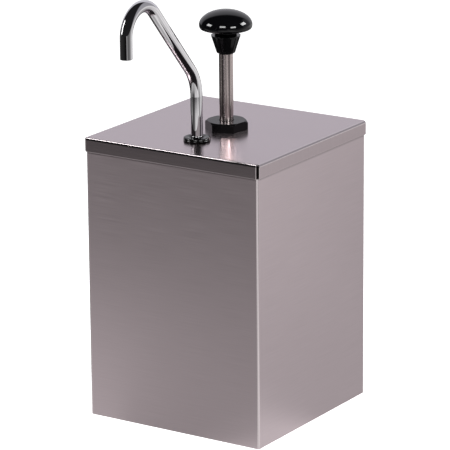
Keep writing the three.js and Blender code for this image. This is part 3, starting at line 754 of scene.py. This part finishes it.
def insertJar():
    s = jarSizes
    low, high = s["floorHeight"], s["floorHeight"] + s["height"]
    deselectAll()
    bpy.ops.mesh.primitive_cube_add(size=1, location=(0, 0, (low + high) / 2 * mm),
                                    scale=(s["bottom"] * mm, s["bottom"] * mm, s["height"] * mm))
    piece = bpy.context.object
    piece.name = "jar_square"
    bpy.ops.object.transform_apply(location=True, rotation=True, scale=True)
    startEdit(piece)
    pick(piece, "EDGE", lambda p, d: abs(d.z) > 0.9)
    bpy.ops.mesh.bevel(offset=s["corner"] * mm, offset_type="OFFSET", segments=s["cornerSteps"],
                       affect="EDGES")
    pick(piece, "FACE", lambda p, n: n.z > 0.9)
    grow = s["top"] / s["bottom"]
    bpy.ops.transform.resize(value=(grow, grow, 1), center_override=(0, 0, 0))
    bpy.ops.mesh.delete(type="FACE")
    pick(piece, "EDGE", lambda p, d: p.z > (high - 0.1) * mm)
    # the rim is drawn outwards and turned down
    wider = (s["rim"] - 0.02) / s["top"]              # a hair inside the CAD's rim
    bpy.ops.mesh.extrude_region_move(TRANSFORM_OT_translate={"value": (0, 0, 0)})
    bpy.ops.transform.resize(value=(wider, wider, 1), center_override=(0, 0, 0))
    extrudeBy(0, 0, -s["lip"])
    pick(piece, "EDGE", lambda p, d: abs(p.z - low * mm) < hair)
    bpy.ops.mesh.bevel(offset=s["foot"] * mm, offset_type="OFFSET", segments=s["footSteps"], affect="EDGES")
    bpy.ops.mesh.select_all(action="SELECT")
    bpy.ops.mesh.normals_make_consistent(inside=False)
    mesh = bmesh.from_edit_mesh(piece.data)
    base = min(mesh.faces, key=lambda f: f.calc_center_median().z)
    if base.normal.z > 0:
        bpy.ops.mesh.flip_normals()
    endEdit()
    modify(piece, "SOLIDIFY", thickness=s["wall"] * mm, offset=-1, use_even_offset=True)
    softenEdges(piece, s["edge"], segments=3, angle=50)
    shade(piece, angle=40)
    place(piece, "jar", "jar_plastic", polythene, "insert_jar")


insertJar()


# return spring

# wire is its radius; pressedShare is the part of its length that's left when the plunger is down
springSizes = {"radius": 10.9, "wire": 0.9, "bottom": 46.2, "top": 120.9, "turns": 8, "wireSides": 14,
               "turnSteps": 40, "pressedShare": 0.222}


def returnSpring():
    s = springSizes
    deselectAll()
    bpy.ops.mesh.primitive_circle_add(vertices=s["wireSides"], radius=s["wire"] * mm,
                                      location=(s["radius"] * mm, 0, (s["bottom"] + s["wire"]) * mm),
                                      rotation=(pi / 2, 0, 0))
    piece = bpy.context.object
    piece.name = "coil_spring"
    bpy.ops.object.transform_apply(location=True, rotation=True, scale=True)
    rise = (s["top"] - s["bottom"] - 2 * s["wire"]) / s["turns"]
    modify(piece, "SCREW", screw_offset=rise * mm, iterations=s["turns"], steps=s["turnSteps"],
           render_steps=s["turnSteps"], axis="Z", use_merge_vertices=False)
    startEdit(piece)
    bpy.ops.mesh.select_all(action="SELECT")
    bpy.ops.mesh.remove_doubles(threshold=0.001 * mm)
    bpy.ops.mesh.select_all(action="DESELECT")
    bpy.ops.mesh.select_non_manifold()
    bpy.ops.mesh.edge_face_add()
    bpy.ops.mesh.select_all(action="SELECT")
    bpy.ops.mesh.normals_make_consistent(inside=False)
    endEdit()
    shade(piece, angle=50, weighted=False)
    place(piece, "lid", "spring_steel", springWire, "return_spring")
    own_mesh(piece)


returnSpring()
print("jar and spring made")


# the pump's other pieces keep their CAD shape, on a merged copy with its edges softened

# body, slot, material, and how wide its edges are softened in mm
pumpFinish = {
    "bottom_pan": ("box", "brushed_steel", panSteel, 0.3),
    "pump_cylinder": ("lid", "white_plastic", acetal, 0.35),
    "guide_bush": ("lid", "white_plastic", acetal, 0.2),
    "valve_body": ("lid", "white_plastic", acetal, 0.35),
    "ball_retainer": ("lid", "white_plastic", acetal, 0.25),
    "union_nut": ("lid", "white_plastic", acetal, 0.4),
    "discharge_elbow": ("lid", "white_plastic", acetal, 0.35),
    "spout_socket": ("lid", "white_plastic", acetal, 0.3),
    "tube_clip": ("lid", "white_plastic", acetal, 0.4),
    "wiper_seal": ("lid", "black_rubber", nitrile, 0.25),
    "lid_gasket": ("lid", "black_rubber", nitrile, 0.2),
    "barrel_seal": ("lid", "seal_rubber", silicone, 0.3),
    "union_seal": ("lid", "seal_rubber", silicone, 0.2),
    "spout_seal_upper": ("lid", "seal_rubber", silicone, 0),
    "spout_seal_lower": ("lid", "seal_rubber", silicone, 0),
    "riser_tube": ("lid", "polished_steel", smallSteel, 0.2),
    "ball_stop_pin": ("lid", "polished_steel", smallSteel, 0.15),
    "piston_seal": ("seal", "seal_rubber", silicone, 0.1),
    "piston": ("plunger", "white_plastic", acetal, 0.25),
    "piston_stud": ("plunger", "polished_steel", smallSteel, 0.2),
    "piston_washer": ("plunger", "polished_steel", smallSteel, 0.2),
    "piston_nut": ("plunger", "polished_steel", smallSteel, 0.3),
    "stop_collar": ("plunger", "polished_steel", smallSteel, 0.2),
    "stop_bumper": ("plunger", "black_rubber", nitrile, 0.25),
    "knob_stud": ("plunger", "polished_steel", smallSteel, 0.2),
    "knob_insert": ("plunger", "brass", brassBar, 0.2),
    "inlet_ball": ("inlet_valve", "polished_steel", smallSteel, 0),
    "outlet_ball": ("outlet_valve", "polished_steel", smallSteel, 0),
}


def mergedCopy(nodeName):
    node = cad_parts[nodeName]
    piece = node.copy()
    piece.data = node.data.copy()
    bpy.context.scene.collection.objects.link(piece)
    piece.name = nodeName + "_finished"
    piece.parent = None
    for key in [k for k in piece.keys() if k.startswith("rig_")]:
        del piece[key]
    startEdit(piece)
    bpy.ops.mesh.select_all(action="SELECT")
    bpy.ops.mesh.remove_doubles(threshold=hair)
    bpy.ops.mesh.dissolve_limited(angle_limit=radians(0.5))
    endEdit()
    return piece


for nodeName, (bodyName, slotName, finish, edge) in pumpFinish.items():
    piece = mergedCopy(nodeName)
    if edge:
        softenEdges(piece, edge, segments=2, angle=40)
    shade(piece, angle=40 if edge else 60, weighted=bool(edge))
    place(piece, bodyName, slotName, finish, nodeName)
print("pump pieces finished")


# floor, surroundings and lights

studio = {
    # pale screens round the set: direction of the middle, cosine of the outer and inner edge, brightness
    "screens": [((-0.547, 0.837, 0.0), (0.56, 0.70), 0.68), ((0.55, 0.81, 0.20), (0.80, 0.90), 0.36)],
    "dark": 0.015, "screenTint": (0.945, 0.935, 1.0, 1),
    # how bright the floor reads in the object: degrees round from -Y towards +X, then brightness
    "nearFloor": [(-180, 0.53), (-160, 0.04), (-78, 0.03), (-64, 0.40), (-56, 0.70), (-42, 0.60),
                  (-35, 0.56), (-28, 0.47), (-12, 0.42), (10, 0.40), (27, 0.48), (50, 0.80), (75, 0.80),
                  (100, 0.54), (147, 0.52), (180, 0.52)],
    "middleFloor": [(-180, 0.35), (-140, 0.08), (-97, 0.03), (-78, 0.04), (-66, 0.50), (-52, 0.28),
                    (-43, 0.07), (-30, 0.06), (-6, 0.14), (4, 0.38), (14, 0.68), (22, 0.80), (40, 0.56),
                    (52, 0.72), (61, 0.98), (72, 0.60), (82, 0.26), (94, 0.38), (104, 0.55), (127, 0.88),
                    (143, 0.55), (157, 0.25), (170, 0.45), (180, 0.38)],
    "farFloor": [(-180, 0.60), (-155, 0.15), (-130, 0.03), (-88, 0.05), (-72, 0.03), (-20, 0.02), (36, 0.0),
                 (42, 0.40), (47, 0.40), (52, 0.18), (62, 0.12), (90, 0.16), (102, 0.25), (130, 0.60),
                 (155, 0.85), (180, 0.80)],
    "floorReach": ((0.28, 0.88), (1.12, 1.3)),   # m, where near turns to middle, and middle to far
    # each soft box: degrees round from -Y towards +X, elevation, width in m, watts
    "softBoxes": [(-50, 27, 0.60, 12.5), (19, 30, 0.62, 12.5), (68, 22, 0.58, 12), (128, 30, 0.62, 14)],
    "boxDistance": 1.5, "aim": (0, -0.03, 0.33), "boxShape": 0.75,   # m, m, and height against width
    # a strip that only picks out the lid's front fold, tilted in degrees
    "strip": {"location": (-0.81, -0.21, 1.52), "tilt": 5.5, "size": (0.9, 0.2), "watts": 4.4},
    # a tall box that only shows in the spout: degrees round, elevation, (width, height) in m, watts
    "tallBox": (-52, 20, (0.34, 0.95), 3.2),
    # a wide panel that lights only the lid, so that it isn't dark from behind
    "widePanel": (50, 15, (2.5, 0.62), 2.2),
    "floorSize": 30, "floorDrop": 0.2,           # m, and mm below the object's feet
    "floorTint": (1.0, 0.99, 0.99, 1), "paper": 0.9, "paperShade": (0.8, 0.8, 0.8, 1),
}


def setWorld():
    world = bpy.data.worlds.new("studio")
    bpy.context.scene.world = world
    world.use_nodes = True
    tree = world.node_tree
    tree.nodes.clear()
    way = addNode(tree, "ShaderNodeTexCoord").outputs["Generated"]
    levels = []
    for axis, (outer, inner), brightness in studio["screens"]:
        dot = addNode(tree, "ShaderNodeVectorMath", {1: axis}, {0: way}, operation="DOT_PRODUCT")
        ends = {"From Min": outer, "From Max": inner, "To Min": studio["dark"], "To Max": brightness}
        share = addNode(tree, "ShaderNodeMapRange", ends, {"Value": dot.outputs["Value"]},
                        interpolation_type="SMOOTHSTEP")
        levels.append(share.outputs["Result"])
    level = levels[0]
    for other in levels[1:]:
        level = addNode(tree, "ShaderNodeMath", {}, {0: level, 1: other}, operation="MAXIMUM").outputs[0]
    room = addNode(tree, "ShaderNodeBackground", {"Color": studio["screenTint"]}, {"Strength": level})
    paper = addNode(tree, "ShaderNodeBackground", {"Color": (1, 1, 1, 1), "Strength": 1.0})
    path = addNode(tree, "ShaderNodeLightPath")
    both = addNode(tree, "ShaderNodeMixShader", {}, {0: path.outputs["Is Camera Ray"], 1: room.outputs[0],
                                                     2: paper.outputs[0]})
    addNode(tree, "ShaderNodeOutputWorld", {}, {"Surface": both.outputs[0]})


def addFloor():
    # the camera sees plain pale paper, and the object sees the rings of brightness
    deselectAll()
    bpy.ops.mesh.primitive_plane_add(size=studio["floorSize"], location=(0, 0, -studio["floorDrop"] * mm))
    floor = bpy.context.object
    floor.name = "floor"
    material = bpy.data.materials.new("pale_floor")
    material.use_nodes = True
    tree = material.node_tree
    tree.nodes.clear()
    spot = addNode(tree, "ShaderNodeTexCoord").outputs["Object"]
    parts = addNode(tree, "ShaderNodeSeparateXYZ", links={"Vector": spot})
    minusY = addNode(tree, "ShaderNodeMath", {1: -1.0}, {0: parts.outputs["Y"]}, operation="MULTIPLY")
    angle = addNode(tree, "ShaderNodeMath", {}, {0: parts.outputs["X"], 1: minusY.outputs[0]},
                    operation="ARCTAN2")
    turn = addNode(tree, "ShaderNodeMapRange", {"From Min": -pi, "From Max": pi},
                   {"Value": angle.outputs[0]})
    distance = addNode(tree, "ShaderNodeVectorMath", links={0: spot}, operation="LENGTH").outputs["Value"]
    rings = []
    for stops in (studio["nearFloor"], studio["middleFloor"], studio["farFloor"]):
        ramp = addNode(tree, "ShaderNodeValToRGB", {}, {"Fac": turn.outputs["Result"]})
        bar = ramp.color_ramp.elements
        while len(bar) < len(stops):
            bar.new(0.5)
        for stop, (degrees, level) in zip(bar, stops):
            stop.position = (degrees + 180) / 360
            stop.color = (level, level, level, 1)
        rings.append(ramp.outputs["Color"])
    glow = rings[0]
    for (start, end), farther in zip(studio["floorReach"], rings[1:]):
        share = addNode(tree, "ShaderNodeMapRange", {"From Min": start, "From Max": end},
                        {"Value": distance}, interpolation_type="SMOOTHSTEP")
        glow = addNode(tree, "ShaderNodeMix", {},
                       {"Factor": share.outputs["Result"], "A": glow, "B": farther}).outputs["Result"]
    lit = addNode(tree, "ShaderNodeEmission", {"Color": studio["floorTint"]}, {"Strength": glow})
    paper = addNode(tree, "ShaderNodeEmission", {"Color": (1, 1, 1, 1), "Strength": studio["paper"]})
    soft = addNode(tree, "ShaderNodeBsdfDiffuse", {"Color": studio["paperShade"]})
    seen = addNode(tree, "ShaderNodeAddShader", {}, {0: paper.outputs[0], 1: soft.outputs[0]})
    path = addNode(tree, "ShaderNodeLightPath")
    both = addNode(tree, "ShaderNodeMixShader", {}, {0: path.outputs["Is Camera Ray"], 1: lit.outputs[0],
                                                     2: seen.outputs[0]})
    addNode(tree, "ShaderNodeOutputMaterial", {}, {"Surface": both.outputs[0]})
    floor.data.materials.append(material)


def areaLamp(name, location, turn, size, watts):
    light = bpy.data.lights.new(name, "AREA")
    light.shape = "RECTANGLE"
    light.size, light.size_y = size
    light.energy = watts
    lamp = bpy.data.objects.new(name, light)
    bpy.context.scene.collection.objects.link(lamp)
    lamp.location = location
    lamp.rotation_euler = turn
    lamp.visible_camera = False
    return lamp


def lightGroup(name, state, *pieces):
    # the pieces that a lamp lights (INCLUDE), or that it's flagged off (EXCLUDE)
    group = bpy.data.collections.new(name)
    for piece in pieces:
        group.objects.link(bpy.data.objects[piece])
    for member in group.collection_objects:
        member.light_linking.link_state = state
    return group


def aroundLamp(name, turn, height, size, watts, group):
    # a lamp that faces the object from a turn and a height in degrees
    way = Vector((sin(radians(turn)) * cos(radians(height)), -cos(radians(turn)) * cos(radians(height)),
                  sin(radians(height))))
    lamp = areaLamp(name, Vector(studio["aim"]) + way * studio["boxDistance"],
                    way.to_track_quat("Z", "Y").to_euler(), size, watts)
    lamp.light_linking.receiver_collection = group


def addLamps():
    # the boxes are flagged off the lid and the spout, which would show each one as a glint
    flagged = lightGroup("flagged_off", "EXCLUDE", "lid_sheet", "bent_spout")
    lidGroup = lightGroup("lid_lit", "INCLUDE", "lid_sheet")
    for turn, height, size, watts in studio["softBoxes"]:
        aroundLamp("soft_box", turn, height, (size, size * studio["boxShape"]), watts, flagged)
    aroundLamp("tall_box", *studio["tallBox"], lightGroup("spout_lit", "INCLUDE", "bent_spout"))
    aroundLamp("wide_panel", *studio["widePanel"], lidGroup)
    strip = studio["strip"]
    lamp = areaLamp("strip", strip["location"], (radians(strip["tilt"]), 0, 0), strip["size"],
                    strip["watts"])
    lamp.light_linking.receiver_collection = lidGroup


setWorld()
addFloor()
addLamps()
bpy.context.scene.view_settings.view_transform = "Standard"
bpy.context.scene.view_settings.look = "None"
print("floor and lights set")
